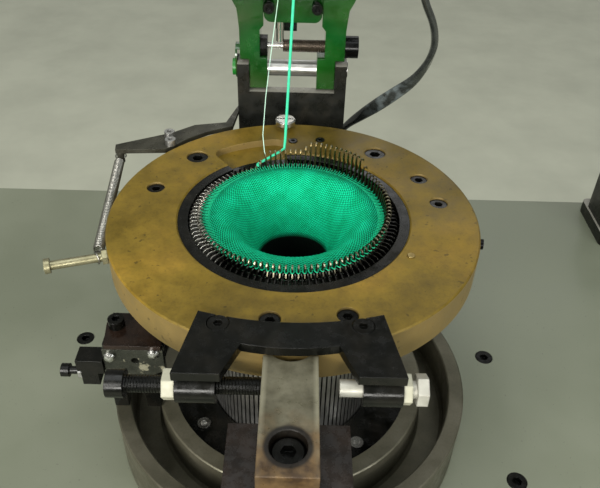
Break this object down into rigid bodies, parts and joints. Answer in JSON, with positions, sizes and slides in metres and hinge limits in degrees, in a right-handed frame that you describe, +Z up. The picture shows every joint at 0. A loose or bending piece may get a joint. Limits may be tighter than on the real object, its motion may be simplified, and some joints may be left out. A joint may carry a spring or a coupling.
{
  "type": "circular knitting machine",
  "caption": "Small-diameter circular knitting machine on a stand: needle cylinder, brass sinker cap with stop bolts, tilting head, yarn boom and drive motor.",
  "frame": {"origin": "on the floor, on the axis of the needle cylinder, midway between the foot holes", "axes": "+Z up along the cylinder axis, +Y to the rear where the hinge is, +X to the right"},
  "size_m": [0.71, 0.556, 1.159],
  "materials": {
    "bed_paint": "worn matt grey-green paint with oil",
    "stand_paint": "satin dark grey-green paint",
    "housing_iron": "machined, oily, with light dust",
    "black_oxide": "blackened steel, oily",
    "screw_black": "black oxide screws",
    "steel": "bare ground steel",
    "worn_steel": "bare steel with brown stains",
    "cylinder_steel": "hardened steel, oily",
    "cap_brass": "machined, dull and oil stained",
    "bearing_bronze": "bronze bush",
    "gear_steel": "cut steel, greased",
    "zinc": "bright zinc plate",
    "nut_cream": "yellowish zinc plate",
    "chrome": "polished",
    "clevis_black": "blackened, oily",
    "head_green": "glossy green enamel",
    "motor_grey": "satin grey paint",
    "box_plastic": "black plastic",
    "eyelet_ceramic": "white glazed ceramic",
    "cable_rubber": "black cable sheath",
    "yarn_green": "bright green yarn",
    "cloth_green": "knitted green cloth",
    "yarn_pale": "fine pale thread"
  },
  "bodies": {
    "machine": {"bed_plate": "bed_paint", "bed_screws": "screw_black", "stand_legs": "stand_paint", "stand_rails": "stand_paint", "base_housing": "housing_iron", "cam_ring": "black_oxide", "cam_ring_screws": "steel", "cylinder_bearing": "bearing_bronze", "drive_motor": "motor_grey", "motor_bracket": "stand_paint", "stop_block": "clevis_black", "stop_bar": "worn_steel", "stop_bar_screw": "screw_black", "return_spring": "steel", "spring_arm": "black_oxide", "spring_arm_screws": "zinc", "clevis_bracket": "clevis_black", "hinge_shaft": "chrome", "lever_block": "black_oxide", "lever_face_plate": "stand_paint", "face_plate_nuts": "chrome", "lever_top_plate": "black_oxide", "lever_top_screw": "screw_black", "side_arm_block": "black_oxide", "side_adjust_screw": "screw_black", "side_adjust_nut": "zinc", "mast_foot": "clevis_black", "yarn_mast": "steel", "yarn_boom": "steel", "stop_motion_box": "box_plastic", "yarn_eyelets": "eyelet_ceramic", "main_yarn": "yarn_green", "fine_yarn": "yarn_pale", "sensor_cable": "cable_rubber"},
    "cylinder": {"needle_cylinder": "cylinder_steel", "needles": "steel", "sinker_bed": "black_oxide", "sinkers": "steel", "fabric_tube": "cloth_green", "cylinder_gear": "gear_steel"},
    "rotor": {"drive_pinion": "gear_steel", "motor_shaft": "steel"},
    "cap": {"sinker_cap": "cap_brass", "sinker_cam_liner": "black_oxide", "cap_screws": "screw_black", "cap_pins": "bearing_bronze", "yarn_button": "chrome", "arch_bracket": "black_oxide", "arch_screws": "screw_black", "left_stop_bolt": "screw_black", "right_stop_bolt": "zinc", "stop_lock_nuts": "nut_cream", "spring_stud": "bearing_bronze"},
    "head": {"head_casting": "head_green", "slotted_plate": "head_green", "slotted_plate_screws": "screw_black", "guide_pin": "chrome", "clamp_block": "black_oxide", "cross_screw": "screw_black", "cross_nut": "screw_black"}
  },
  "joints": [
    {"name": "cylinder_spin", "type": "hinge", "parent": "machine", "child": "cylinder", "pos_m": [0, 0, 0.75], "axis": [0, 0, 1], "continuous": true, "deforming": ["main_yarn", "fine_yarn"]},
    {"name": "pinion_spin", "type": "hinge", "parent": "machine", "child": "rotor", "pos_m": [0.0801, 0, 0.75], "axis": [0, 0, 1], "continuous": true},
    {"name": "cap_swing", "type": "hinge", "parent": "machine", "child": "cap", "pos_m": [0, 0, 0.92], "axis": [0, 0, 1], "range_deg": [-4.5, 0], "stiffness_Nm_per_rad": 6, "deforming": ["return_spring"]},
    {"name": "head_tilt", "type": "hinge", "parent": "machine", "child": "head", "pos_m": [-0.004, 0.138, 0.9565], "axis": [1, 0, 0], "range_deg": [-72, 0]}
  ],
  "couplings": [
    {"joint": "pinion_spin", "follows": "cylinder_spin", "ratio": -3}
  ]
}
